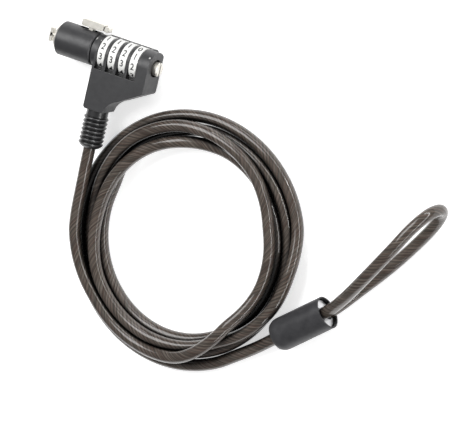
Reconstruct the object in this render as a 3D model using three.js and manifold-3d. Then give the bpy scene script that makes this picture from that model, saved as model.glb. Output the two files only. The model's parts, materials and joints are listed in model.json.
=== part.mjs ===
// A laptop cable lock: a four-dial combination head with a T-shaped locking tip,
// lying on its back, and its coiled steel cable with a crimped loop at the far end.
// Millimetres, +Z up. Modelled with the barrel's axis along X, the barrel's front
// end at x = 0, the axis at y = 0 and the table at z = 0. The last lines move the
// origin to the table under the middle of the lock head.
import * as THREE from 'three';
import { mergeVertices } from 'three/addons/utils/BufferGeometryUtils.js';
import Module from 'manifold-3d';

const wasm = await Module();
wasm.setup();

// ---- driving dimensions -------------------------------------------------------
const GAP = 0.3;                 // clearance between neighbouring pieces
const AXIS_Z = 8.45;             // height of the barrel's axis over the table

const BARREL_RADIUS = 7.7;
const BARREL_BORE = 6.6;
const BARREL_LENGTH = 18.3;

const BODY_START = 21.2;         // the cast housing, along X
const BODY_END = 48.6;
const BODY_FRONT = 7.3;          // front face, over the axis
const RIB_RADIUS = 7.3;
const END_START = 44.6;          // the thinner right end of the housing
const END_BACK = -5.25;          // its back, from the axis
const NECK_WIDTH = 10.0;
const NECK_BOTTOM = -25.4;       // lower end of the neck, along Y
const NECK_BACK = -3.6;          // back of the neck, from the axis
const SPINDLE_BORE = 2.4;

const DIAL_COUNT = 4;
const DIAL_START = 22.5;
const DIAL_PITCH = 5.5;
const DIAL_WIDTH = 3.7;
const DIAL_RADIUS = 7.6;
const POCKET_RADIUS = DIAL_RADIUS + 0.25;
const POCKET_LOW = -7.0;         // lower end of the dial windows, along Y
const POCKET_FLOOR = 5.4;        // their ledge below the dials, from the axis
const SLEEVE_RADIUS = 4.0;

const TIP_CENTRE = -5.35;        // the T-bar's cross piece, along X
const TIP_SPAN = 6.4;
const TIP_THICK = 1.5;
const TIP_HEIGHT = 2.4;
const STEM_RADIUS = 0.9;

const SLIDER_TOP = 11.8;         // top of the thumb slider, over the axis
const SLIDER_FLOOR = 8.6;
const SLIDER_WIDTH = 4.0;
const CARRIAGE_X = 12.3;

const KNOB_RADIUS = 3.15;
const KNOB_PROUD = 2.2;

const BOOT_X = BODY_START + NECK_WIDTH / 2;
const BOOT_Z = AXIS_Z + (BODY_FRONT + NECK_BACK) / 2;
const BOOT_LENGTH = 17.0;
const BOOT_RIBS = 7;

const CABLE_RADIUS = 2.75;
const COIL_CENTRE = [80.9, -70.0];
const COIL_INNER = 41.0;
const COIL_OUTER = 58.3;
const COIL_HEIGHT = 10.7;

const FERRULE_RADIUS = 7.5;
const FERRULE_LENGTH = 28.2;
const CRIMP_RADIUS = 6.5;
const FERRULE_START = [135.6, -97.4];
const FERRULE_HEADING = THREE.MathUtils.degToRad(40);
const STRAND_OFFSET = 2.95;      // the two strands in the crimp, above and below

// the cable's route where it isn't coiled: from the stud to the coil's left side
const LEAD_ROUTE = [
  [26.2, -25.7, 10.3], [26.2, -34.0, 10.3], [26.2, -43.0, 10.3],
  [26.1, -51.0, 9.9], [25.9, -58.5, 9.1], [25.8, -66.0, 8.5],
  [26.0, -73.5, 8.3], [26.9, -81.0, 8.1],
];
// and from the coil into the crimp, round the standing eye and back into the crimp
const TAIL_ROUTE = [
  [108.2, -118.2, 2.8], [116.5, -112.4, 2.8], [123.6, -107.2, 2.9],
  [129.3, -102.7, 3.9], [133.3, -99.3, 4.5], [137.1, -96.1, 4.55],
  [146.0, -88.7, 4.55], [155.5, -80.7, 4.55], [159.6, -76.9, 4.4],
  [168.0, -66.6, 3.2], [179.9, -52.0, 2.8], [190.8, -36.8, 3.2],
  [197.8, -26.4, 5.6], [201.6, -19.9, 9.7], [202.8, -17.6, 15.6],
  [201.3, -19.4, 21.6], [197.0, -26.6, 26.0], [190.6, -38.3, 27.6],
  [180.1, -53.9, 24.6], [168.7, -68.1, 17.4], [159.5, -77.3, 11.0],
  [155.5, -80.7, 10.45], [146.0, -88.7, 10.45], [140.0, -93.7, 10.45],
];

// ---- materials ----------------------------------------------------------------
const material = (color, roughness, metalness) =>
  new THREE.MeshStandardMaterial({ color, roughness, metalness });
const castBlack = () => material(0x2c2c2e, 0.5, 0.1);
const rubberBlack = () => material(0x161617, 0.32, 0.0);
const brightMetal = () => material(0xd6d5d0, 0.28, 1.0);
const springSteel = () => material(0x9a9a98, 0.35, 1.0);
const dialWhite = () => material(0xf2f2ef, 0.35, 0.2);
const smokyJacket = () => material(0x5b5049, 0.25, 0.0);

// ---- shape helpers ------------------------------------------------------------
function dropDegenerate(geometry) {
  const old = geometry.getIndex().array;
  const kept = [];
  for (let i = 0; i < old.length; i += 3) {
    const [a, b, c] = [old[i], old[i + 1], old[i + 2]];
    if (a !== b && b !== c && a !== c) kept.push(a, b, c);
  }
  geometry.setIndex(kept);
  return geometry;
}

function signedVolume(position, index) {
  const [a, b, c] = [new THREE.Vector3(), new THREE.Vector3(), new THREE.Vector3()];
  let sum = 0;
  for (let i = 0; i < index.length; i += 3) {
    a.fromBufferAttribute(position, index[i]);
    b.fromBufferAttribute(position, index[i + 1]);
    c.fromBufferAttribute(position, index[i + 2]);
    sum += a.dot(b.cross(c));
  }
  return sum / 6;
}

// a three.js geometry as a solid, with its faces turned outward
function solid(source) {
  const bare = source.clone();
  bare.deleteAttribute('normal');
  bare.deleteAttribute('uv');
  const geometry = dropDegenerate(mergeVertices(bare, 1e-4));
  const triVerts = new Uint32Array(geometry.getIndex().array);
  const position = geometry.getAttribute('position');
  if (signedVolume(position, triVerts) < 0) {
    for (let i = 0; i < triVerts.length; i += 3) {
      [triVerts[i + 1], triVerts[i + 2]] = [triVerts[i + 2], triVerts[i + 1]];
    }
  }
  const vertProperties = new Float32Array(position.array);
  return new wasm.Manifold(new wasm.Mesh({ numProp: 3, vertProperties, triVerts }));
}

function geometryOf(manifold) {
  const mesh = manifold.getMesh();
  const geometry = new THREE.BufferGeometry();
  geometry.setAttribute('position', new THREE.BufferAttribute(mesh.vertProperties, 3));
  geometry.setIndex(new THREE.BufferAttribute(mesh.triVerts, 1));
  geometry.computeVertexNormals();
  return geometry;
}

// the largest body of a cut piece, without the slivers that a glancing cut leaves
function largestBody(manifold) {
  const bodies = manifold.decompose();
  return bodies.sort((a, b) => b.volume() - a.volume())[0];
}

// profiles are [along the axis, radius] pairs
function latheX(profile, segments = 32) {
  const points = profile.map(([x, r]) => new THREE.Vector2(r, x));
  const geometry = new THREE.LatheGeometry(points, segments).rotateZ(-Math.PI / 2);
  return solid(geometry.translate(0, 0, AXIS_Z));
}

function latheY(profile, x, z, segments = 32) {
  const points = profile.map(([y, r]) => new THREE.Vector2(r, y));
  return solid(new THREE.LatheGeometry(points, segments).translate(x, 0, z));
}

// a ring along X between two ends, with a bore
function ringX(start, end, outer, bore, chamfer = 0, segments = 32) {
  return latheX([
    [start, bore], [start, outer - chamfer], [start + chamfer, outer],
    [end - chamfer, outer], [end, outer - chamfer], [end, bore], [start, bore],
  ], segments);
}

function rodX(start, end, radius, chamfer = 0, segments = 24) {
  return latheX([
    [start, 0], [start, radius - chamfer], [start + chamfer, radius],
    [end - chamfer, radius], [end, radius - chamfer], [end, 0],
  ], segments);
}

// a box from its lowest and highest corners, with z measured from the axis
function block(x0, x1, y0, y1, z0, z1) {
  const geometry = new THREE.BoxGeometry(x1 - x0, y1 - y0, z1 - z0);
  geometry.translate((x0 + x1) / 2, (y0 + y1) / 2, AXIS_Z + (z0 + z1) / 2);
  return solid(geometry);
}

// an outline in X and Y drawn up along Z, from the axis
function prismZ(shape, low, high, curveSegments = 6) {
  const geometry = new THREE.ExtrudeGeometry(shape, {
    depth: high - low, bevelEnabled: false, curveSegments,
  });
  return solid(geometry.translate(0, 0, AXIS_Z + low));
}

function roundedRectangle(x0, y0, x1, y1, radius) {
  const shape = new THREE.Shape();
  shape.moveTo(x0 + radius, y0);
  shape.lineTo(x1 - radius, y0);
  shape.absarc(x1 - radius, y0 + radius, radius, -Math.PI / 2, 0);
  shape.lineTo(x1, y1 - radius);
  shape.absarc(x1 - radius, y1 - radius, radius, 0, Math.PI / 2);
  shape.lineTo(x0 + radius, y1);
  shape.absarc(x0 + radius, y1 - radius, radius, Math.PI / 2, Math.PI);
  shape.lineTo(x0, y0 + radius);
  shape.absarc(x0 + radius, y0 + radius, radius, Math.PI, Math.PI * 1.5);
  return shape;
}

// a round section swept along a curve
function tube(curve, radius, steps, sides) {
  const section = new THREE.Shape();
  for (let i = 0; i < sides; i++) {
    const angle = (2 * Math.PI * i) / sides;
    const [x, y] = [radius * Math.cos(angle), radius * Math.sin(angle)];
    if (i === 0) section.moveTo(x, y);
    else section.lineTo(x, y);
  }
  return solid(new THREE.ExtrudeGeometry(section, { steps, extrudePath: curve }));
}

class Helix extends THREE.Curve {
  constructor(start, end, radius, turns) {
    super();
    Object.assign(this, { start, end, radius, turns });
  }

  getPoint(t, target = new THREE.Vector3()) {
    const angle = 2 * Math.PI * this.turns * t;
    const x = this.start + (this.end - this.start) * t;
    const y = this.radius * Math.cos(angle);
    return target.set(x, y, AXIS_Z + this.radius * Math.sin(angle));
  }
}

const routeCurve = (route) =>
  new THREE.CatmullRomCurve3(route.map((p) => new THREE.Vector3(...p)), false, 'centripetal');

// ---- the object ----------------------------------------------------------------
const lock = new THREE.Group();
const cableParts = new THREE.Group();
const headParts = new THREE.Group();
const assembly = new THREE.Group();
assembly.add(headParts, cableParts);
lock.add(assembly);

function place(group, name, manifold, look) {
  const mesh = new THREE.Mesh(geometryOf(manifold), look);
  mesh.name = name;
  group.add(mesh);
}

const dialLeft = (i) => DIAL_START + i * DIAL_PITCH;

// front-view outline of the cast housing and its neck
function housingOutline() {
  const shape = new THREE.Shape();
  shape.moveTo(BODY_START, 7.6);
  shape.lineTo(BODY_START, NECK_BOTTOM + 0.8);
  shape.lineTo(BODY_START + 0.8, NECK_BOTTOM);
  shape.lineTo(BODY_START + NECK_WIDTH, NECK_BOTTOM);
  shape.lineTo(BODY_START + NECK_WIDTH + 0.8, NECK_BOTTOM + 2.6);
  shape.quadraticCurveTo(34.0, -19.4, 37.6, -18.1);
  shape.lineTo(BODY_END - 1.6, -12.6);
  shape.quadraticCurveTo(BODY_END, -12.1, BODY_END, -10.6);
  shape.lineTo(BODY_END, 7.6);
  return shape;
}

// end-view outline: rounded over the barrel's axis, flat front and back, and a
// back that steps forward to the thinner neck. The shape's x is -z and its y is y.
function mainSection() {
  const shape = new THREE.Shape();
  const back = -AXIS_Z;
  shape.moveTo(-BODY_FRONT, NECK_BOTTOM - 1);
  shape.lineTo(-BODY_FRONT, 0);
  shape.absarc(0, 0, RIB_RADIUS, Math.PI, Math.PI / 2, true);
  shape.lineTo(-back - 4.2, RIB_RADIUS);
  shape.absarc(-back - 4.2, RIB_RADIUS - 4.2, 4.2, Math.PI / 2, 0, true);
  shape.lineTo(-back, -9.5);
  shape.lineTo(-NECK_BACK, -16.5);
  shape.lineTo(-NECK_BACK, NECK_BOTTOM - 1);
  return shape;
}

// end-view outline of the thinner right end, rounded at the back too
function endSection() {
  const shape = new THREE.Shape();
  const turn = Math.asin(-END_BACK / RIB_RADIUS);
  shape.moveTo(-BODY_FRONT, NECK_BOTTOM - 1);
  shape.lineTo(-BODY_FRONT, 0);
  shape.absarc(0, 0, RIB_RADIUS, Math.PI, Math.PI / 2 - turn, true);
  shape.lineTo(-END_BACK, NECK_BOTTOM - 1);
  return shape;
}

// an end-view outline drawn out along X
function prismX(section, start, end) {
  const geometry = new THREE.ExtrudeGeometry(section, {
    depth: end - start, bevelEnabled: false, curveSegments: 10,
  });
  geometry.rotateY(Math.PI / 2);
  return solid(geometry.translate(start, 0, AXIS_Z));
}

// the space that one dial turns in, open at the top and on the front face
function dialPocket(i) {
  const start = dialLeft(i) - GAP;
  const end = dialLeft(i) + DIAL_WIDTH + GAP;
  const round = rodX(start, end, POCKET_RADIUS, 0, 48);
  return round.add(block(start, end, POCKET_LOW, 0, POCKET_FLOOR, BODY_FRONT + 1));
}

function mainHousing() {
  const outline = prismZ(housingOutline(), -AXIS_Z, BODY_FRONT);
  const section = prismX(mainSection(), BODY_START, END_START)
    .add(prismX(endSection(), END_START - 0.5, BODY_END));
  const spigot = rodX(15.5, BODY_START + 0.5, BARREL_BORE - GAP, 0, 32);
  const collar = rodX(BARREL_LENGTH + GAP, BODY_START + 0.5, RIB_RADIUS, 0.3, 40);
  let body = outline.intersect(section).add(spigot).add(collar);
  for (let i = 0; i < DIAL_COUNT; i++) body = body.subtract(dialPocket(i));
  const spindleWay = rodX(15, BODY_END - 4.0, SPINDLE_BORE);
  const knobRecess = rodX(BODY_END - 3.4, BODY_END + 1, KNOB_RADIUS + 0.9, 0, 32);
  const knobWay = rodX(BODY_END - 4.4, BODY_END, SPINDLE_BORE);
  const leafChannel = block(dialLeft(0), dialLeft(3) + DIAL_WIDTH, -9.3, -6.5, -1.6, 1.6);
  const studBore = latheY([
    [-15.4, 0], [-15.4, 3.9], [NECK_BOTTOM - 1, 3.9], [NECK_BOTTOM - 1, 0],
  ], BOOT_X, BOOT_Z);
  const pinBore = solid(new THREE.CylinderGeometry(1.1, 1.1, 14, 16)
    .rotateX(Math.PI / 2).translate(BOOT_X + 3.9, -19.2, BOOT_Z - 3.4));
  return [spindleWay, knobRecess, knobWay, leafChannel, studBore, pinBore]
    .reduce((left, cutter) => left.subtract(cutter), body);
}

function barrelSleeve() {
  const slot = block(8.2, 17.0, 5, 8, -1.7, 1.7);
  return ringX(0, BARREL_LENGTH, BARREL_RADIUS, BARREL_BORE, 0.5, 40).subtract(slot);
}

// guard pins stand above and below the stem, in line with the turned slot
const PIN_OFFSET = 2.75;
const PIN_RADIUS = 0.8;

function pinRod(side, start, end, radius, sides = 16) {
  return solid(new THREE.CylinderGeometry(radius, radius, end - start, sides)
    .rotateZ(Math.PI / 2).translate((start + end) / 2, 0, AXIS_Z + side * PIN_OFFSET));
}

function nosePlug() {
  const plug = latheX([
    [-1.6, 0], [-1.6, 5.4], [-1.1, 6.0], [-GAP, 6.2], [3.0, 6.2], [3.0, 0],
  ], 36);
  const stemWay = rodX(-3, 5, STEM_RADIUS + GAP);
  return [stemWay, pinRod(1, -3, 5, PIN_RADIUS + GAP), pinRod(-1, -3, 5, PIN_RADIUS + GAP)]
    .reduce((left, cutter) => left.subtract(cutter), plug);
}

function tBar() {
  const bar = roundedRectangle(
    TIP_CENTRE - TIP_THICK / 2, -TIP_SPAN / 2,
    TIP_CENTRE + TIP_THICK / 2, TIP_SPAN / 2, 0.5,
  );
  const cross = prismZ(bar, -TIP_HEIGHT / 2, TIP_HEIGHT / 2);
  const recess = block(TIP_CENTRE - 0.45, TIP_CENTRE + 0.45, -0.8, 0.8, -0.2, 2);
  return cross.add(rodX(TIP_CENTRE, 7.2, STEM_RADIUS, 0, 20)).subtract(recess);
}

// the flat nut that holds the stem, narrow enough to pass between the guard pins
function stemNut() {
  return block(3.3, 4.9, -3.2, 3.2, -1.6, 1.6).subtract(rodX(3, 6, STEM_RADIUS + 0.2, 0, 20));
}

function pinCarriage() {
  const disc = ringX(CARRIAGE_X, CARRIAGE_X + 2.6, 6.2, 2.1, 0.3, 32);
  const notch = block(CARRIAGE_X - 1, CARRIAGE_X + 4, 4.0, 8, -1.7, 1.7);
  return disc.subtract(notch)
    .subtract(pinRod(1, 11, 16, PIN_RADIUS + GAP))
    .subtract(pinRod(-1, 11, 16, PIN_RADIUS + GAP));
}

// a rod with a collar behind the carriage and four teeth, one to each code sleeve
function codeSpindle() {
  let spindle = rodX(12.4, 44.2, 1.8, 0.2, 24);
  for (let i = 0; i < DIAL_COUNT; i++) {
    const middle = dialLeft(i) + DIAL_WIDTH / 2;
    spindle = spindle.add(block(middle - 0.5, middle + 0.5, 1.2, 2.2, -0.5, 0.5));
  }
  return spindle;
}

function thumbSlider() {
  const half = SLIDER_WIDTH / 2;
  const side = roundedRectangle(8.8, SLIDER_FLOOR, 20.0, SLIDER_TOP, 0.8);
  const stalk = block(CARRIAGE_X + 0.2, CARRIAGE_X + 2.4, 4.4, SLIDER_FLOOR + 0.5, -1.3, 1.3);
  return prismZ(side, -half, half).add(stalk);
}

function sliderTail() {
  const half = SLIDER_WIDTH / 2 - 0.2;
  return prismZ(roundedRectangle(20.4, SLIDER_FLOOR, 22.6, SLIDER_TOP - 0.7, 0.6), -half, half);
}

// the spring ahead of the carriage, at its pressed length, seated on the nose plug
function carriageSpring() {
  return tube(new Helix(3.7, 7.6, 5.2, 3.0), 0.3, 54, 6);
}

function dialRing(i) {
  return ringX(dialLeft(i), dialLeft(i) + DIAL_WIDTH, DIAL_RADIUS, SLEEVE_RADIUS + GAP, 0.25, 40);
}

// the sleeve inside a dial, with the slot that the spindle's tooth has to meet
function codeSleeve(i) {
  const start = dialLeft(i) + 0.1;
  const end = dialLeft(i) + DIAL_WIDTH - 0.1;
  const slot = block(start - 1, end + 1, 0, 3.1, -0.9, 0.9);
  return ringX(start, end, SLEEVE_RADIUS, 2.6, 0.1, 28).subtract(slot);
}

function detentSpring() {
  const start = dialLeft(0) + 0.4;
  const end = dialLeft(DIAL_COUNT - 1) + DIAL_WIDTH - 0.4;
  return block(start, end, -8.95, -8.55, -1.2, 1.2);
}

function resetKnob() {
  const face = BODY_END + KNOB_PROUD;
  const knob = latheX([
    [BODY_END - 3.0, 0], [BODY_END - 3.0, KNOB_RADIUS], [face - 0.5, KNOB_RADIUS],
    [face, KNOB_RADIUS - 0.5], [face, 0],
  ], 32);
  return knob.subtract(block(face - 0.8, face + 1, -4, 4, -0.4, 0.4));
}

function resetSpring() {
  const start = BODY_END - 3.2;
  return ringX(start - 0.8, start - 0.05, 2.1, 1.3, 0, 20);
}

function cableStud() {
  return latheY([
    [-15.7, 0], [-15.7, 3.6], [-17.9, 3.6], [-18.3, 2.5], [-20.1, 2.5], [-20.5, 3.6],
    [NECK_BOTTOM, 3.6], [NECK_BOTTOM, 0],
  ], BOOT_X, BOOT_Z, 28);
}

function studPin() {
  return solid(new THREE.CylinderGeometry(0.8, 0.8, 8.6, 14)
    .rotateX(Math.PI / 2).translate(BOOT_X + 3.9, -19.2, BOOT_Z - 1.1));
}

// the ribbed boot: a collar against the neck, then ribs, then a rounded shoulder
function strainRelief() {
  const top = NECK_BOTTOM - GAP;
  const bore = CABLE_RADIUS + GAP;
  const collar = 2.6;
  const pitch = (BOOT_LENGTH - collar - 0.8) / BOOT_RIBS;
  const profile = [[top, bore], [top, 4.9], [top - collar, 4.9]];
  for (let i = 0; i < BOOT_RIBS; i++) {
    const y = top - collar - i * pitch;
    for (const [share, radius] of [[0.08, 4.55], [0.26, 5.35], [0.5, 5.6], [0.74, 5.35]]) {
      profile.push([y - pitch * share, radius]);
    }
  }
  profile.push([top - BOOT_LENGTH + 0.5, 4.6], [top - BOOT_LENGTH, 3.9]);
  profile.push([top - BOOT_LENGTH, bore], [top, bore]);
  return latheY(profile, BOOT_X, BOOT_Z, 24);
}

// ---- cable, coil and crimp -------------------------------------------------------
// the outer shape of the coil's turns: a ring lying on the table, grown by a margin
function coilRing(margin) {
  const inner = COIL_INNER - margin;
  const outer = COIL_OUTER + margin;
  const high = COIL_HEIGHT + margin;
  const round = 2.4;
  const profile = [
    [inner + round, -margin], [outer - round, -margin], [outer, round],
    [outer - 0.4, high - 4.5], [outer - 3.4, high - 0.6], [outer - 5.5, high],
    [inner + 5.5, high], [inner + 3.4, high - 0.6], [inner + 0.4, high - 4.5],
    [inner, round], [inner + round, -margin],
  ];
  const points = profile.map(([r, z]) => new THREE.Vector2(r, z));
  const geometry = new THREE.LatheGeometry(points, 56).rotateX(Math.PI / 2);
  return solid(geometry.translate(COIL_CENTRE[0], COIL_CENTRE[1], 0));
}

// the cover's axis: points are measured along it from its closed end
function ferrulePoint(along, height = FERRULE_RADIUS) {
  const x = FERRULE_START[0] + along * Math.cos(FERRULE_HEADING);
  const y = FERRULE_START[1] + along * Math.sin(FERRULE_HEADING);
  return new THREE.Vector3(x, y, height);
}

function latheFerrule(profile, height = FERRULE_RADIUS, segments = 36) {
  const points = profile.map(([x, r]) => new THREE.Vector2(r, x));
  const geometry = new THREE.LatheGeometry(points, segments).rotateZ(-Math.PI / 2);
  geometry.rotateZ(FERRULE_HEADING);
  const start = ferrulePoint(0, height);
  return solid(geometry.translate(start.x, start.y, start.z));
}

// clearance holes for the two strands, from one point along the axis to another
function strandWay(side, start, end) {
  const reach = CABLE_RADIUS + GAP;
  const profile = [[start, 0], [start, reach], [end, reach], [end, 0]];
  return latheFerrule(profile, FERRULE_RADIUS + side * STRAND_OFFSET, 24);
}

function coverBody(margin) {
  const outer = FERRULE_RADIUS + margin;
  return [
    [-margin, 0], [-margin, outer - 2.6], [0.7, outer - 1.1], [2.4, outer - 0.2],
    [4.0, outer], [FERRULE_LENGTH + margin, outer], [FERRULE_LENGTH + margin, 0],
  ];
}

function ferruleCover() {
  const hollow = latheFerrule([
    [3.0, 0], [3.0, CRIMP_RADIUS + GAP], [FERRULE_LENGTH + 1, CRIMP_RADIUS + GAP],
    [FERRULE_LENGTH + 1, 0],
  ]);
  return latheFerrule(coverBody(0)).subtract(hollow).subtract(strandWay(-1, -2, 4));
}

function crimpSleeve() {
  const sleeve = latheFerrule([
    [3.3, 0], [3.3, CRIMP_RADIUS], [FERRULE_LENGTH - 1.6, CRIMP_RADIUS],
    [FERRULE_LENGTH - 1.6, 0],
  ]);
  return sleeve.subtract(strandWay(-1, 2, FERRULE_LENGTH)).subtract(strandWay(1, 2, FERRULE_LENGTH));
}

// ---- assembly ----------------------------------------------------------------------
place(headParts, 'main_housing', mainHousing(), castBlack());
place(headParts, 'barrel_sleeve', barrelSleeve(), castBlack());
place(headParts, 'nose_plug', nosePlug(), brightMetal());
place(headParts, 't_bar', tBar(), brightMetal());
place(headParts, 'stem_nut', stemNut(), springSteel());
place(headParts, 'guard_pin_a', pinRod(1, -1.5, 14.7, PIN_RADIUS), springSteel());
place(headParts, 'guard_pin_b', pinRod(-1, -1.5, 14.7, PIN_RADIUS), springSteel());
place(headParts, 'pin_carriage', pinCarriage(), springSteel());
place(headParts, 'code_spindle', codeSpindle(), springSteel());
place(headParts, 'thumb_slider', thumbSlider(), brightMetal());
place(headParts, 'slider_tail', sliderTail(), brightMetal());
place(headParts, 'carriage_spring', carriageSpring(), springSteel());
for (let i = 0; i < DIAL_COUNT; i++) {
  place(headParts, `dial_${i + 1}`, dialRing(i), dialWhite());
  place(headParts, `code_sleeve_${i + 1}`, codeSleeve(i), springSteel());
}
place(headParts, 'detent_spring', detentSpring(), springSteel());
place(headParts, 'reset_knob', resetKnob(), brightMetal());
place(headParts, 'reset_spring', resetSpring(), springSteel());
place(headParts, 'cable_stud', cableStud(), springSteel());
place(headParts, 'stud_pin', studPin(), springSteel());
place(headParts, 'strain_relief', strainRelief(), rubberBlack());

const coverClear = latheFerrule(coverBody(GAP));
const coilClear = coilRing(GAP);
const lead = tube(routeCurve(LEAD_ROUTE), CABLE_RADIUS, 18, 10).subtract(coilClear);
const tail = tube(routeCurve(TAIL_ROUTE), CABLE_RADIUS, 60, 10).subtract(coilClear);
place(cableParts, 'cable_lead', largestBody(lead), smokyJacket());
place(cableParts, 'cable_coil', coilRing(0).subtract(coverClear), smokyJacket());
place(cableParts, 'cable_tail', largestBody(tail), smokyJacket());
place(cableParts, 'ferrule_cover', ferruleCover(), rubberBlack());
place(cableParts, 'crimp_sleeve', crimpSleeve(), brightMetal());

// the origin: on the table, under the middle of the lock head
const headBox = new THREE.Box3().setFromObject(headParts);
const middle = headBox.getCenter(new THREE.Vector3());
assembly.position.set(-middle.x, -middle.y, -headBox.min.z);

export default lock;
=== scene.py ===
import json
import math

import bmesh
import bpy
import numpy as np
from mathutils import Matrix, Vector


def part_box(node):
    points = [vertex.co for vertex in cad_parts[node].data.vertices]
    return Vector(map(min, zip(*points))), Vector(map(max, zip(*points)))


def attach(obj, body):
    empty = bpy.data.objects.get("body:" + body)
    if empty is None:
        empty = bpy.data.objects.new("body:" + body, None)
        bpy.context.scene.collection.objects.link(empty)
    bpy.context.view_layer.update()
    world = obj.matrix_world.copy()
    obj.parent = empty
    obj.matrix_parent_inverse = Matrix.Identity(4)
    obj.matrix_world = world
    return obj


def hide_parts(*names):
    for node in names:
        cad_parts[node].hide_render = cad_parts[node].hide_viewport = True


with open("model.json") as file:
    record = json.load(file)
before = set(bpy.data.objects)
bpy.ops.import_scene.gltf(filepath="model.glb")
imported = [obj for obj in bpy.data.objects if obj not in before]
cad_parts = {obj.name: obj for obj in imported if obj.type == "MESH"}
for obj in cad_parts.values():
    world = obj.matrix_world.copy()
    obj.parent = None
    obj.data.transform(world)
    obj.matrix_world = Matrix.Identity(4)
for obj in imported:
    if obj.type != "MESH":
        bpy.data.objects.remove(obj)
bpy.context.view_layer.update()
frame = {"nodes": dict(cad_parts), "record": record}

# ---- the barrel's own frame: front end at x = 0, axis at y = 0, table at z = 0 ----------
sleeve_low, sleeve_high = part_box("barrel_sleeve")
AXIS_Z = (sleeve_low.z + sleeve_high.z) / 2
ORIGIN = Vector((sleeve_low.x, (sleeve_low.y + sleeve_high.y) / 2, 0))
CABLE_DIAMETER = 0.0055
ROPE_LAY = 0.021                        # one turn of the rope under the jacket
WIRE_LAY = 0.011                        # one turn of the wires, which cross the strands
STRANDS, WIRES = 9, 23


def place(x, y, z):
    """A point of the barrel's frame, in the row frame, in metres."""
    return Vector((x, y, z)) + ORIGIN


# ---- camera -----------------------------------------------------------------------------
CAMERA_RIGHT = (0.851, 0.219, -0.477)
CAMERA_UP = (-0.293, 0.953, -0.084)
CAMERA_TARGET = (0.1018, -0.0524, 0.005)
CAMERA_DISTANCE = 5                     # far off, so that the view is nearly parallel


def make_camera():
    data = bpy.data.cameras.new("camera")
    data.lens, data.sensor_width = 866, 36
    data.clip_start, data.clip_end = 0.05, 20
    camera = bpy.data.objects.new("camera", data)
    bpy.context.scene.collection.objects.link(camera)
    right, up = Vector(CAMERA_RIGHT), Vector(CAMERA_UP)
    right.normalize()
    back = right.cross(up).normalized()
    up = back.cross(right)
    turn = Matrix((right, up, back)).transposed().to_4x4()
    position = place(*CAMERA_TARGET) + back * CAMERA_DISTANCE
    camera.matrix_world = Matrix.Translation(position) @ turn
    bpy.context.scene.camera = camera


make_camera()

# ---- cable ------------------------------------------------------------------------------
# from the stud to the coil's left side
LEAD_ROUTE = [
    (0.0262, -0.0257, 0.0103), (0.0262, -0.0340, 0.0103), (0.0262, -0.0430, 0.0103),
    (0.0261, -0.0510, 0.0099), (0.0259, -0.0585, 0.0091), (0.0258, -0.0660, 0.0085),
    (0.0260, -0.0735, 0.0083), (0.0269, -0.0810, 0.0081),
]
# from the coil into the crimp, round the standing eye and back into the crimp
TAIL_ROUTE = [
    (0.1082, -0.1182, 0.0028), (0.1165, -0.1124, 0.0028), (0.1236, -0.1072, 0.0029),
    (0.1293, -0.1027, 0.0039), (0.1333, -0.0993, 0.0045), (0.1371, -0.0961, 0.00455),
    (0.1460, -0.0887, 0.00455), (0.1555, -0.0807, 0.00455), (0.1596, -0.0769, 0.0044),
    (0.1680, -0.0666, 0.0032), (0.1799, -0.0520, 0.0028), (0.1908, -0.0368, 0.0032),
    (0.1978, -0.0264, 0.0056), (0.2016, -0.0199, 0.0097), (0.2028, -0.0176, 0.0156),
    (0.2013, -0.0194, 0.0216), (0.1970, -0.0266, 0.0260), (0.1906, -0.0383, 0.0276),
    (0.1801, -0.0539, 0.0246), (0.1687, -0.0681, 0.0174), (0.1595, -0.0773, 0.0110),
    (0.1555, -0.0807, 0.01045), (0.1460, -0.0887, 0.01045), (0.1400, -0.0937, 0.01045),
]
COIL_CENTRE = (0.0809, -0.0700)
# the coil's lanes: [degrees travelled, distance from the centre, height], in millimetres
FLOOR_1, FLOOR_2, FLOOR_3 = (44.0, 2.75), (49.7, 2.75), (55.4, 2.75)
UPPER_1, UPPER_2 = (46.85, 7.7), (52.55, 7.7)
COIL_LANES = [
    [197, 54.8, 8.1], [226, *UPPER_2], [258, *UPPER_2], [282, 51.6, 11.6], [292, 49.6, 13.3],
    [305, 46.2, 13.4], [318, 43.2, 12.6], [345, 43.0, 8.5], [385, 43.3, 8.4],
    [415, 46.85, 7.7], [445, 49.7, 8.2], [465, 51.2, 8.3], [495, 51.4, 7.9],
    [540, *FLOOR_2],
    [815, *FLOOR_2], [830, 47.8, 2.75], [858, 47.8, 2.75], [870, 46.7, 2.75],
    [883, *FLOOR_1],
    [1160, *FLOOR_1], [1188, 44.0, 8.45], [1260, 44.2, 8.4], [1296, *UPPER_1],
    [1385, *UPPER_1], [1408, 50.4, 8.2], [1424, *UPPER_2], [1440, 53.6, 7.4],
    [1462, 55.4, 3.6], [1478, *FLOOR_3], [1733, *FLOOR_3],
]
COIL_STEP = 5                           # degrees from one point to the next
EASING = 17                             # degrees over which a lane change is eased
CURVE_STEPS = 6                         # points on the curve for each span of the route
RING_SPACING = 0.0016                   # from one ring of the cable's mesh to the next
RING_SIDES = 20


def coil_points():
    """Points round the coil, with the lane changes eased over a few degrees."""
    lanes = np.array(COIL_LANES, float)
    fine = np.arange(lanes[0, 0], lanes[-1, 0] + 1)
    window = np.hanning(EASING)
    window /= window.sum()
    eased = []
    for column in (1, 2):
        values = np.interp(fine, lanes[:, 0], lanes[:, column])
        padded = np.pad(values, EASING // 2, mode="edge")
        eased.append(np.convolve(padded, window, mode="valid"))
    points = []
    for i in range(0, len(fine), COIL_STEP):
        angle, reach = math.radians(fine[i]), eased[0][i] / 1000
        x = COIL_CENTRE[0] + reach * math.cos(angle)
        y = COIL_CENTRE[1] + reach * math.sin(angle)
        points.append((x, y, eased[1][i] / 1000))
    return points


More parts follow.
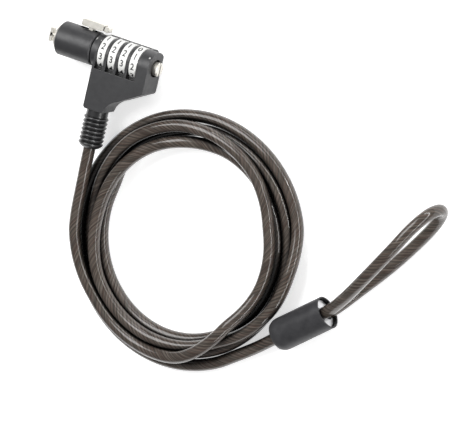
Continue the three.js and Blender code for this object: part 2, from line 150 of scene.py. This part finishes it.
def smooth_line(points, per_span):
    """A centripetal Catmull-Rom curve through the points."""
    p = np.array(points, float)
    p = np.vstack([2 * p[0] - p[1], p, 2 * p[-1] - p[-2]])
    knots = np.concatenate([[0], np.cumsum(np.linalg.norm(np.diff(p, axis=0), axis=1) ** 0.5)])
    out = []
    for i in range(1, len(p) - 2):
        t0, t1, t2, t3 = knots[i - 1:i + 3]
        for t in np.linspace(t1, t2, per_span, endpoint=False):
            a1 = ((t1 - t) * p[i - 1] + (t - t0) * p[i]) / (t1 - t0)
            a2 = ((t2 - t) * p[i] + (t - t1) * p[i + 1]) / (t2 - t1)
            a3 = ((t3 - t) * p[i + 1] + (t - t2) * p[i + 2]) / (t3 - t2)
            b1 = ((t2 - t) * a1 + (t - t0) * a2) / (t2 - t0)
            b2 = ((t3 - t) * a2 + (t - t1) * a3) / (t3 - t1)
            out.append(((t2 - t) * b1 + (t - t1) * b2) / (t2 - t1))
    return np.vstack([out, p[-2]])


def evenly(line, spacing):
    """The same line with its points a fixed distance apart, and its length."""
    along = np.concatenate([[0], np.cumsum(np.linalg.norm(np.diff(line, axis=0), axis=1))])
    marks = np.linspace(0, along[-1], int(along[-1] / spacing) + 1)
    return np.stack([np.interp(marks, along, line[:, k]) for k in range(3)], 1), along[-1]


def ring_frames(line):
    """A pair of crosswise directions at each point, carried along without twisting."""
    ahead = np.gradient(line, axis=0)
    ahead /= np.linalg.norm(ahead, axis=1)[:, None]
    side = np.cross(ahead[0], [0, 0, 1.0])
    sides = []
    for direction in ahead:
        side = side - direction * (side @ direction)
        side /= np.linalg.norm(side)
        sides.append(side)
    sides = np.array(sides)
    return sides, np.cross(ahead, sides)


def tube_mesh(name, line, radius, around, length):
    """A closed tube. Its map 'rope' holds turns around and metres along."""
    sides, ups = ring_frames(line)
    angles = np.linspace(0, 2 * math.pi, around, endpoint=False)
    cos, sin = np.cos(angles)[None, :, None], np.sin(angles)[None, :, None]
    rings = line[:, None] + radius * (sides[:, None] * cos + ups[:, None] * sin)
    count = len(line)
    faces, uvs = [], []
    for i in range(count - 1):
        v0, v1 = length * i / (count - 1), length * (i + 1) / (count - 1)
        for j in range(around):
            k = (j + 1) % around
            faces.append((i * around + j, i * around + k, (i + 1) * around + k,
                          (i + 1) * around + j))
            u0, u1 = j / around, (j + 1) / around
            uvs += [(u0, v0), (u1, v0), (u1, v1), (u0, v1)]
    for i, order in ((0, -1), (count - 1, 1)):
        faces.append(tuple(i * around + j for j in range(around))[::order])
        uvs += [(j / around, length * i / (count - 1)) for j in range(around)]
    mesh = bpy.data.meshes.new(name)
    mesh.from_pydata(rings.reshape(-1, 3).tolist(), [], faces)
    layer = mesh.uv_layers.new(name="rope")
    layer.data.foreach_set("uv", np.array(uvs, np.float32).ravel())
    mesh.polygons.foreach_set("use_smooth", [True] * len(faces))
    mesh.update()
    return mesh


def add_piece(name, mesh, body, look):
    piece = bpy.data.objects.new(name, mesh)
    bpy.context.scene.collection.objects.link(piece)
    mesh.materials.append(look)
    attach(piece, body)
    return piece


def cable_line():
    route = [place(*p) for p in LEAD_ROUTE + coil_points() + TAIL_ROUTE]
    return evenly(smooth_line(route, CURVE_STEPS), RING_SPACING)


# ---- materials --------------------------------------------------------------------------
class Look:
    """A material, with short calls for its nodes."""

    def __init__(self, name, **fixed):
        self.material = bpy.data.materials.new(name)
        self.material.use_nodes = True
        self.tree = self.material.node_tree
        self.shader = self.tree.nodes["Principled BSDF"]
        for socket, value in fixed.items():
            self.shader.inputs[socket.replace("_", " ")].default_value = value

    def node(self, kind, inputs=None, **settings):
        made = self.tree.nodes.new("ShaderNode" + kind)
        for key, value in settings.items():
            setattr(made, key, value)
        for key, value in (inputs or {}).items():
            if isinstance(value, bpy.types.NodeSocket):
                self.tree.links.new(value, made.inputs[key])
            else:
                made.inputs[key].default_value = value
        return made

    def link(self, output, socket):
        self.tree.links.new(output, self.shader.inputs[socket])

    def here(self):
        return self.node("TexCoord").outputs["Object"]

    def noise(self, size, detail=3.0, where=None, roughness=0.55):
        inputs = {"Vector": where or self.here(), "Scale": 1 / size, "Detail": detail,
                  "Roughness": roughness}
        return self.node("TexNoise", inputs).outputs["Fac"]

    def math(self, operation, a, b=0.0, c=0.0):
        made = self.node("Math", {0: a, 1: b, 2: c}, operation=operation)
        return made.outputs[0]

    def span(self, value, low, high, to_low, to_high):
        inputs = {"Value": value, "From Min": low, "From Max": high,
                  "To Min": to_low, "To Max": to_high}
        return self.node("MapRange", inputs).outputs["Result"]

    def blend(self, fac, a, b):
        made = self.node("Mix", data_type="RGBA")
        for index, value in ((0, fac), (6, a), (7, b)):
            if isinstance(value, bpy.types.NodeSocket):
                self.tree.links.new(value, made.inputs[index])
            else:
                made.inputs[index].default_value = value if index == 0 else (*value, 1)
        return made.outputs[2]

    def edges(self, radius=0.0004):
        """1 along convex edges and 0 elsewhere."""
        bevel = self.node("Bevel", {"Radius": radius}, samples=6)
        normal = self.node("NewGeometry").outputs["Normal"]
        inputs = {0: bevel.outputs[0], 1: normal}
        dot = self.node("VectorMath", inputs, operation="DOT_PRODUCT").outputs["Value"]
        return self.span(dot, 0.995, 0.85, 0.0, 1.0)

    def relief(self, height, depth, strength=1.0, rounded=0.0):
        inputs = {"Height": height, "Distance": depth, "Strength": strength}
        if rounded:
            bevel = self.node("Bevel", {"Radius": rounded}, samples=6)
            inputs["Normal"] = bevel.outputs[0]
        self.link(self.node("Bump", inputs).outputs[0], "Normal")


def worn_plastic(name, dark, light, wear, roughness, grain, rounded=0.0003, **fixed):
    """Moulded or painted black: fine grain, faint mottling, paler rubbed edges, and painted
    shade that darkens the hollows.
    """
    look = Look(name, **fixed)
    mottle = look.noise(0.004, 4)
    tone = look.blend(look.span(mottle, 0.3, 0.7, 0, 1), dark, light)
    rub = look.math("MULTIPLY", look.edges(), look.span(look.noise(0.0016, 5), 0.35, 0.65, 0, 1))
    tone = look.blend(look.math("MULTIPLY", rub, wear), tone, (0.22, 0.22, 0.22))
    # painted shade: the colour goes nearly black in hollows, recesses and gaps between parts
    hollow_shade = look.node("AmbientOcclusion", {"Distance": 0.0035}, samples=8).outputs["AO"]
    look.link(look.blend(look.span(hollow_shade, 0.35, 0.75, 0.9, 0.0), tone, (0.004, 0.004, 0.004)),
              "Base Color")
    rough = look.span(look.noise(0.0022, 4), 0.3, 0.7, roughness - 0.05, roughness + 0.07)
    look.link(rough, "Roughness")
    fine = look.noise(0.00028, 2)
    look.relief(fine, grain, 0.6, rounded)
    return look.material


def plated_metal(name, dark, light, roughness, brushed=0.0, rounded=0.0002):
    """Plated or turned metal with faint tone changes, fine marks, a soft sheen, and painted
    shade in its hollows.
    """
    look = Look(name, Metallic=1.0)
    tone = look.blend(look.span(look.noise(0.003, 3), 0.3, 0.7, 0, 1), dark, light)
    stretch = look.node("Mapping", {"Vector": look.here(), "Scale": (0.12, 1, 1)})
    marks = look.noise(0.00025, 2, stretch.outputs[0])
    rough = look.span(look.noise(0.001, 3), 0.3, 0.7, roughness - 0.04, roughness + 0.06)
    look.link(look.math("MULTIPLY_ADD", marks, brushed, rough), "Roughness")
    # painted shade: the colour darkens in hollows and corners
    hollow_shade = look.node("AmbientOcclusion", {"Distance": 0.0015}, samples=8).outputs["AO"]
    look.link(look.blend(look.span(hollow_shade, 0.2, 0.6, 0.85, 0.0), tone, (0.02, 0.02, 0.018)),
              "Base Color")
    look.relief(marks, 0.00001, 0.5, rounded)
    return look.material


def jacketed_cable():
    """Smoky clear jacket over a right-laid steel rope: strands and wires seen through gloss,
    with painted shade in the gaps between turns.
    """
    look = Look("cable_jacket_look", Coat_Weight=1.0, Coat_Roughness=0.05, Coat_IOR=1.5,
                Roughness=0.45, Specular_IOR_Level=0.15)
    rope = look.node("UVMap", uv_map="rope").outputs[0]
    split = look.node("SeparateXYZ", {0: rope})
    around, along = split.outputs[0], split.outputs[1]
    turned = look.math("MULTIPLY_ADD", along, -1 / ROPE_LAY, around)

    def twisted(count, angle):
        phase = look.math("MULTIPLY", angle, 2 * math.pi * count)
        return look.math("MULTIPLY_ADD", look.math("SINE", phase), 0.5, 0.5)

    # noise that follows the strands and closes round the cable
    full = look.math("MULTIPLY", turned, 2 * math.pi)
    spun = look.node("CombineXYZ", {
        0: look.math("MULTIPLY", look.math("COSINE", full), 3.2),
        1: look.math("MULTIPLY", look.math("SINE", full), 3.2),
        2: look.math("MULTIPLY", along, 70.0),
    }).outputs[0]
    streaks = look.noise(1.0, 4, spun, 0.65)
    hues = look.noise(0.8, 2, spun)
    strands = twisted(STRANDS, turned)
    crossed = look.math("MULTIPLY_ADD", along, 1 / WIRE_LAY, around)
    wires = twisted(WIRES, crossed)
    tone = look.blend(look.span(hues, 0.35, 0.65, 0, 1), (0.046, 0.042, 0.033),
                      (0.072, 0.043, 0.032))
    tone = look.blend(look.span(streaks, 0.42, 0.68, 0, 0.85), tone, (0.170, 0.142, 0.120))
    tone = look.blend(look.math("MULTIPLY", wires, 0.18), tone, (0.02, 0.017, 0.015))
    # the dark lines between the rope's strands, with painted shade rounding each strand towards
    # them
    groove_shade = look.span(strands, 0.0, 0.55, 0.55, 0.0)
    dim = look.span(streaks, 0.25, 0.5, 0.55, 0.0)
    tone = look.blend(look.math("MAXIMUM", groove_shade, dim), tone, (0.012, 0.010, 0.009))
    # painted shade: the colour goes nearly black in the gaps between strands and turns of the
    # coil
    hollow_shade = look.node("AmbientOcclusion", {"Distance": 0.008}, samples=8).outputs["AO"]
    look.link(look.blend(look.span(hollow_shade, 0.42, 0.88, 1.0, 0.0), tone, (0.001, 0.001, 0.001)),
              "Base Color")
    height = look.math("MULTIPLY_ADD", wires, 0.15, strands)
    inputs = {"Height": height, "Distance": 0.00012, "Strength": 0.35}
    look.link(look.node("Bump", inputs).outputs[0], "Normal")
    return look.material


def dial_enamel():
    """Bright enamel with a little grime towards the edges."""
    look = Look("dial_white_look", Coat_Weight=0.4, Coat_Roughness=0.15)
    grime = look.math("MULTIPLY", look.edges(0.0003), look.noise(0.0011, 4))
    tone = look.blend(look.noise(0.002, 3), (0.82, 0.82, 0.80), (0.90, 0.90, 0.885))
    look.link(look.blend(look.math("MULTIPLY", grime, 0.55), tone, (0.36, 0.34, 0.30)),
              "Base Color")
    look.link(look.span(look.noise(0.0015, 3), 0.3, 0.7, 0.3, 0.42), "Roughness")
    look.relief(look.noise(0.0005, 2), 0.00001, 0.5, 0.0002)
    return look.material


def ink(name, dark, light):
    """Printed or filled markings, slightly uneven."""
    look = Look(name)
    look.link(look.blend(look.noise(0.0006, 4), dark, light), "Base Color")
    look.link(look.span(look.noise(0.0004, 2), 0.3, 0.7, 0.45, 0.6), "Roughness")
    return look.material


LOOKS = {
    "cast_black": worn_plastic("cast_black_look", (0.026, 0.026, 0.028), (0.036, 0.036, 0.038),
                               0.45, 0.4, 0.00003),
    "boot_rubber": worn_plastic("boot_rubber_look", (0.014, 0.014, 0.015), (0.024, 0.024, 0.025),
                                0.1, 0.3, 0.000004, Coat_Weight=0.5, Coat_Roughness=0.25),
    "ferrule_black": worn_plastic("ferrule_black_look", (0.034, 0.034, 0.037),
                                  (0.050, 0.050, 0.053), 0.15, 0.36, 0.00001,
                                  Specular_IOR_Level=0.25),
    "bright_metal": plated_metal("bright_metal_look", (0.60, 0.58, 0.53), (0.74, 0.72, 0.67),
                                 0.4, 0.08),
    "spring_steel": plated_metal("spring_steel_look", (0.42, 0.42, 0.41), (0.56, 0.56, 0.55),
                                 0.3, 0.15),
    "crimp_aluminium": plated_metal("crimp_aluminium_look", (0.70, 0.70, 0.71),
                                    (0.84, 0.84, 0.85), 0.3, 0.12),
    "dial_white": dial_enamel(),
    "cable_jacket": jacketed_cable(),
}
DIGIT_INK = ink("digit_ink_look", (0.012, 0.012, 0.014), (0.03, 0.03, 0.032))
TICK_PAINT = ink("tick_paint_look", (0.45, 0.45, 0.44), (0.60, 0.60, 0.58))


# ---- CAD pieces -------------------------------------------------------------------------
def smoothing_nodes(angle=32):
    """Joins split corners and shades smooth across edges flatter than the angle."""
    tree = bpy.data.node_groups.new("smooth_by_angle", "GeometryNodeTree")
    tree.interface.new_socket("Geometry", in_out="INPUT", socket_type="NodeSocketGeometry")
    tree.interface.new_socket("Geometry", in_out="OUTPUT", socket_type="NodeSocketGeometry")
    make = tree.nodes.new
    start, end = make("NodeGroupInput"), make("NodeGroupOutput")
    weld = make("GeometryNodeMergeByDistance")
    weld.inputs["Distance"].default_value = 1e-6
    bend = make("GeometryNodeInputMeshEdgeAngle")
    flat = make("FunctionNodeCompare")
    flat.operation = "LESS_EQUAL"
    flat.inputs["B"].default_value = math.radians(angle)
    faces, edges = make("GeometryNodeSetShadeSmooth"), make("GeometryNodeSetShadeSmooth")
    faces.domain, edges.domain = "FACE", "EDGE"
    faces.inputs["Shade Smooth"].default_value = True
    for a, b in (
        (start.outputs[0], weld.inputs["Geometry"]),
        (weld.outputs[0], faces.inputs["Geometry"]),
        (faces.outputs[0], edges.inputs["Geometry"]),
        (bend.outputs["Unsigned Angle"], flat.inputs["A"]),
        (flat.outputs[0], edges.inputs["Shade Smooth"]),
        (edges.outputs[0], end.inputs[0]),
    ):
        tree.links.new(a, b)
    return tree


SMOOTHING = smoothing_nodes()
for part in frame["record"]["subparts"]:
    cad = frame["nodes"][part["node"]]
    cad.data.materials.clear()
    cad.data.materials.append(LOOKS[part["material_slot"]])
    attribute = cad.data.attributes.get("custom_normal")
    if attribute:
        cad.data.attributes.remove(attribute)
    modifier = cad.modifiers.new("smooth", "NODES")
    modifier.node_group = SMOOTHING

# ---- the cable as one piece -------------------------------------------------------------
line, cable_length = cable_line()
cable = add_piece(
    "cable", tube_mesh("cable", line, CABLE_DIAMETER / 2, RING_SIDES, cable_length),
    "lock_body", LOOKS["cable_jacket"],
)
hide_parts("cable_lead", "cable_coil", "cable_tail")

# ---- dial digits and index ticks --------------------------------------------------------
DIGIT_HEIGHT = 0.0031
FIRST_DIGIT_SHIFT = [0, 0, 0, 1]        # the last dial is turned one digit back
FRONT_DIGIT = 2                         # stands nearest the index ticks
INDEX_ANGLE = math.radians(28)          # from straight up towards +Y
RIM_RADIUS = 0.0073                     # the housing's round top
PRINT_HEIGHT, PAINT_HEIGHT = 0.00002, 0.00003


def glyph_mesh(text, height):
    """A flat digit centred on the origin, cut fine enough to be bent."""
    curve = bpy.data.curves.new("glyph", "FONT")
    curve.body, curve.size = text, height * 1.38
    curve.offset = height * 0.022
    curve.align_x, curve.align_y = "CENTER", "CENTER"
    curve.resolution_u = 3
    carrier = bpy.data.objects.new("glyph", curve)
    bpy.context.scene.collection.objects.link(carrier)
    bpy.context.view_layer.update()
    flat = bmesh.new()
    flat.from_mesh(carrier.to_mesh())
    carrier.to_mesh_clear()
    bpy.data.objects.remove(carrier)
    bpy.data.curves.remove(curve)
    bmesh.ops.remove_doubles(flat, verts=flat.verts, dist=1e-7)
    for _ in range(4):
        long = [e for e in flat.edges if e.calc_length() > 0.0005]
        if not long:
            break
        bmesh.ops.subdivide_edges(flat, edges=long, cuts=1)
        bmesh.ops.triangulate(flat, faces=flat.faces)
    return flat


def add_digits(index):
    """Ten digits round one dial, as thin raised print bent to the dial."""
    low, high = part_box(f"dial_{index + 1}")
    middle, radius = (low.x + high.x) / 2, (high.z - low.z) / 2
    whole = bmesh.new()
    for digit in range(10):
        turn = INDEX_ANGLE - math.radians(36) * (digit - FRONT_DIGIT + FIRST_DIGIT_SHIFT[index])
        glyph = glyph_mesh(str(digit), DIGIT_HEIGHT)
        for vertex in glyph.verts:
            across, angle = vertex.co.x * 0.92, turn + vertex.co.y / radius
            reach = radius + PRINT_HEIGHT
            vertex.co = (middle + across, ORIGIN.y + reach * math.sin(angle),
                         AXIS_Z + reach * math.cos(angle))
        spare = bpy.data.meshes.new("spare")
        glyph.to_mesh(spare)
        whole.from_mesh(spare)
        bpy.data.meshes.remove(spare)
        glyph.free()
    mesh = bpy.data.meshes.new(f"dial_digits_{index + 1}")
    whole.to_mesh(mesh)
    whole.free()
    body = next(b for b, ns in frame["record"]["behaviour"]["bodies"].items()
                if f"dial_{index + 1}" in ns)
    add_piece(f"dial_digits_{index + 1}", mesh, body, DIGIT_INK)


def add_tick(name, x, degrees, half_width, half_length):
    """A short painted index mark that follows the housing's round top."""
    strip = bmesh.new()
    rows = []
    for k in range(9):
        share = k / 4 - 1
        angle = math.radians(degrees) + share * half_length / RIM_RADIUS
        reach = RIM_RADIUS + PAINT_HEIGHT
        y, z = ORIGIN.y + reach * math.sin(angle), AXIS_Z + reach * math.cos(angle)
        half = half_width * math.sqrt(1.04 - share * share)
        rows.append([strip.verts.new((ORIGIN.x + x + side * half, y, z)) for side in (-1, 1)])
    for a, b in zip(rows, rows[1:]):
        strip.faces.new((a[0], a[1], b[1], b[0]))
    mesh = bpy.data.meshes.new(name)
    strip.to_mesh(mesh)
    strip.free()
    add_piece(name, mesh, "lock_body", TICK_PAINT)


for index in range(4):
    add_digits(index)
add_tick("index_tick_left", 0.0194, 50, 0.00017, 0.0008)
add_tick("index_tick_rim", 0.0218, 48, 0.00012, 0.0006)
add_tick("index_dot_right", 0.0474, 42, 0.0004, 0.0004)


# ---- floor and light --------------------------------------------------------------------
def make_floor():
    mesh = bpy.data.meshes.new("floor")
    size, low = 3.0, -0.00005
    corners = [(-size, -size, low), (size, -size, low), (size, size, low), (-size, size, low)]
    mesh.from_pydata(corners, [], [(0, 1, 2, 3)])
    look = Look("floor_look", Roughness=0.8, Specular_IOR_Level=0.1, Emission_Strength=0.55,
                Emission_Color=(1, 1, 1, 1))
    tone = look.blend(look.noise(0.05, 3), (0.93, 0.93, 0.93), (0.95, 0.95, 0.95))
    look.link(tone, "Base Color")
    mesh.materials.append(look.material)
    floor = bpy.data.objects.new("floor", mesh)
    bpy.context.scene.collection.objects.link(floor)
    floor.visible_diffuse = False


def softbox(name, azimuth, elevation, wide, high, brightness):
    """A flat light a metre away, facing the object. Azimuth is from +X towards +Y."""
    middle = place(0.09, -0.06, 0)
    a, e = math.radians(azimuth), math.radians(elevation)
    data = bpy.data.lights.new(name, "AREA")
    data.shape, data.size, data.size_y = "RECTANGLE", wide, high
    data.energy = brightness * math.pi * wide * high
    light = bpy.data.objects.new(name, data)
    bpy.context.scene.collection.objects.link(light)
    ahead = Vector((math.cos(a) * math.cos(e), math.sin(a) * math.cos(e), math.sin(e)))
    light.location = middle + ahead
    light.rotation_mode = "QUATERNION"
    light.rotation_quaternion = (-ahead).to_track_quat("-Z", "Y")


def make_light():
    world = bpy.data.worlds.new("studio")
    bpy.context.scene.world = world
    world.use_nodes = True
    background = world.node_tree.nodes["Background"]
    background.inputs["Color"].default_value = (1, 1, 1, 1)
    background.inputs["Strength"].default_value = 0.25
    softbox("key", 140, 55, 0.6, 0.6, 6)
    for index, azimuth in enumerate((-30, 25, 80)):
        softbox(f"rim_{index + 1}", azimuth, 28, 0.95, 0.035, 34)
    bpy.context.scene.view_settings.view_transform = "Standard"


make_floor()
make_light()
